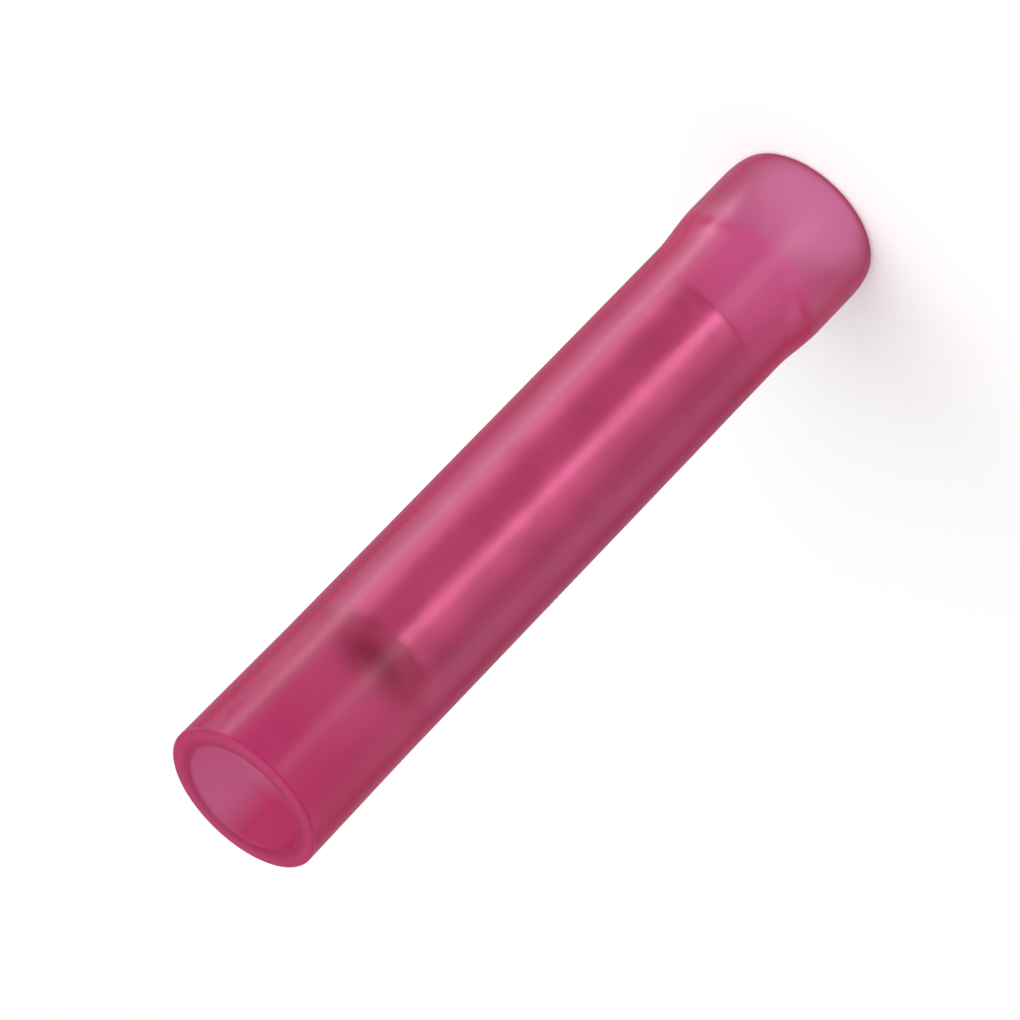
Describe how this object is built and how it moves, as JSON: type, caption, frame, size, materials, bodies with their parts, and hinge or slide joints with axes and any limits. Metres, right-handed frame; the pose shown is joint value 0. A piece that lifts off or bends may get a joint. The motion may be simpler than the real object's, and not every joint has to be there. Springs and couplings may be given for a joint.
{
  "type": "butt splice connector",
  "caption": "Translucent pink nylon sleeve with a tapered mouth and a belled end, around a tinned copper crimp barrel that joins two wires end to end.",
  "frame": {"origin": "middle of the bell's rim, on the surface that it stands on", "axes": "+Z along the bore, from the bell up to the tapered mouth"},
  "size_m": [0.005, 0.005, 0.026],
  "materials": {
    "pink_nylon": "translucent, satin gloss",
    "tinned_copper": "dull tin plate"
  },
  "bodies": {
    "root": {"insulating_sleeve": "pink_nylon", "crimp_barrel": "tinned_copper"}
  },
  "joints": []
}
